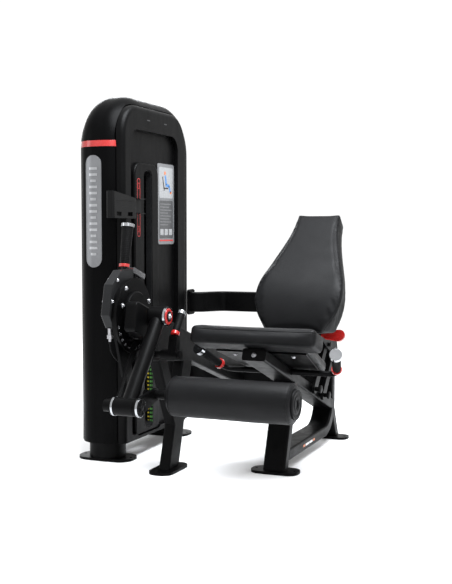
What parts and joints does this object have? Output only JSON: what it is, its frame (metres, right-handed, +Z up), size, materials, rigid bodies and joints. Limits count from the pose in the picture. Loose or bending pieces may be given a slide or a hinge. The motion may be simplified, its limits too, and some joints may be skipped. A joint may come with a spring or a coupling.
{
  "type": "leg extension machine",
  "caption": "Selectorized leg extension gym machine: rounded weight tower, tilted seat frame with reclined back pad, and a swinging knee arm with a roller shin pad.",
  "frame": {"origin": "bottom centre of the whole machine, on the floor", "axes": "+X towards the user's free side, away from the weight tower; +Y backwards; +Z up"},
  "size_m": [1.283, 1.526, 1.68],
  "materials": {
    "frame_paint": "satin black powder coat",
    "shell_plastic": "fine texture",
    "grey_housing": "satin",
    "liner_grey": "satin",
    "red_plastic": "gloss",
    "silver_plate": "brushed",
    "placard_print": "printed",
    "upholstery": "embossed",
    "chrome_trim": "polished",
    "steel_shaft": "ground",
    "bronze": "turned",
    "plate_iron": "painted",
    "tab_plastic": "moulded",
    "black_rubber": "ribbed",
    "cable_sheath": "coated"
  },
  "bodies": {
    "frame": {"tower_frame": "frame_paint", "foot_plates": "frame_paint", "front_column_shell": "shell_plastic", "rear_column_shell": "shell_plastic", "top_arch_shell": "shell_plastic", "red_stripe": "red_plastic", "nameplate": "silver_plate", "side_cover": "shell_plastic", "left_cover": "shell_plastic", "window_frame": "shell_plastic", "window_liner": "liner_grey", "placard": "placard_print", "accessory_holder": "shell_plastic", "guide_rods": "chrome_trim", "rubber_bumpers": "black_rubber", "resting_plates": "plate_iron", "resting_tabs": "tab_plastic", "cable_run": "cable_sheath", "knee_beam": "frame_paint", "left_leg": "frame_paint", "knee_bearings": "bronze", "seat_frame": "frame_paint", "base_frame": "frame_paint", "cross_tubes": "frame_paint", "seat_pan": "frame_paint", "seat_pad": "upholstery", "grip_tube": "frame_paint", "hand_grips": "black_rubber", "hand_grip_ends": "chrome_trim", "lift_cable": "cable_sheath"},
    "lifted_stack": {"lifted_plates": "plate_iron", "head_plate": "plate_iron"},
    "selector_tab_1": {"selector_tab_1": "tab_plastic"},
    "selector_tab_2": {"selector_tab_2": "tab_plastic"},
    "top_pulley": {"top_pulley": "tab_plastic"},
    "knee_arm": {"knee_shaft": "steel_shaft", "rom_disc": "frame_paint", "cam_wheel": "frame_paint", "leg_arm": "frame_paint", "chrome_rings": "chrome_trim", "hub_cap": "red_plastic", "arm_strut": "frame_paint"},
    "roller_link": {"roller_link": "frame_paint", "link_ring": "chrome_trim"},
    "roller": {"roller_spool": "tab_plastic", "roller_pad": "upholstery"},
    "range_lever": {"cam_plate": "frame_paint", "crescent_housing": "grey_housing", "range_lever_grip": "black_rubber", "range_lever_ends": "chrome_trim", "control_cable": "black_rubber", "cable_fittings": "chrome_trim"},
    "seat_lever": {"seat_lever_bracket": "frame_paint", "seat_lever_grip": "black_rubber", "seat_lever_ends": "chrome_trim"},
    "front_link": {"front_link": "frame_paint"},
    "rear_link": {"rear_link": "frame_paint"},
    "back_carriage": {"back_carriage": "frame_paint", "back_pad": "upholstery"},
    "release_handle": {"release_handle": "red_plastic"}
  },
  "joints": [
    {"name": "knee_arm", "type": "hinge", "parent": "frame", "child": "knee_arm", "pos_m": [-0.14198, -0.447, 0.7], "axis": [-1, 0, 0], "range_deg": [0, 75]},
    {"name": "roller_link", "type": "hinge", "parent": "knee_arm", "child": "roller_link", "pos_m": [-0.08698, -0.725, 0.366], "axis": [1, 0, 0], "range_deg": [-30, 10]},
    {"name": "roller_spin", "type": "hinge", "parent": "roller_link", "child": "roller", "pos_m": [0.30702, -0.577, 0.395], "axis": [1, 0, 0], "continuous": true},
    {"name": "range_lever", "type": "hinge", "parent": "frame", "child": "range_lever", "pos_m": [-0.24998, -0.447, 0.7], "axis": [1, 0, 0], "range_deg": [-30, 20]},
    {"name": "seat_lever", "type": "hinge", "parent": "frame", "child": "seat_lever", "pos_m": [-0.03298, -0.403, 0.536], "axis": [-1, 0, 0], "range_deg": [0, 25], "stiffness_Nm_per_rad": 6, "springref_deg": -20.05},
    {"name": "back_front_link", "type": "hinge", "parent": "frame", "child": "front_link", "pos_m": [0.30702, 0.275, 0.3175], "axis": [1, 0, 0], "range_deg": [-12, 18]},
    {"name": "back_rear_link", "type": "hinge", "parent": "frame", "child": "rear_link", "pos_m": [0.30702, 0.413, 0.2673], "axis": [1, 0, 0], "range_deg": [-12, 18]},
    {"name": "back_carriage", "type": "hinge", "parent": "front_link", "child": "back_carriage", "pos_m": [0.30702, 0.453, 0.5075], "axis": [1, 0, 0], "range_deg": [-18, 12]},
    {"name": "release_handle", "type": "hinge", "parent": "back_carriage", "child": "release_handle", "pos_m": [0.30702, 0.331, 0.566], "axis": [1, 0, 0], "range_deg": [0, 18], "stiffness_Nm_per_rad": 6, "springref_deg": -17.19},
    {"name": "stack_lift", "type": "slide", "parent": "frame", "child": "lifted_stack", "axis": [0, 0, 1], "range_m": [0, 0.3], "deforming": ["lift_cable"]},
    {"name": "top_pulley", "type": "hinge", "parent": "frame", "child": "top_pulley", "pos_m": [-0.50548, 0.1405, 1.47], "axis": [-1, 0, 0], "range_deg": [0, 223]},
    {"name": "selector_tab_1", "type": "slide", "parent": "lifted_stack", "child": "selector_tab_1", "axis": [0, 1, 0], "range_m": [0, 0.016]},
    {"name": "selector_tab_2", "type": "slide", "parent": "lifted_stack", "child": "selector_tab_2", "axis": [0, 1, 0], "range_m": [0, 0.016]}
  ],
  "couplings": [
    {"joint": "stack_lift", "follows": "knee_arm", "m_per_rad": 0.2287},
    {"joint": "top_pulley", "follows": "knee_arm", "ratio": 2.951},
    {"joint": "back_rear_link", "follows": "back_front_link", "ratio": 1},
    {"joint": "back_carriage", "follows": "back_front_link", "ratio": -1}
  ]
}
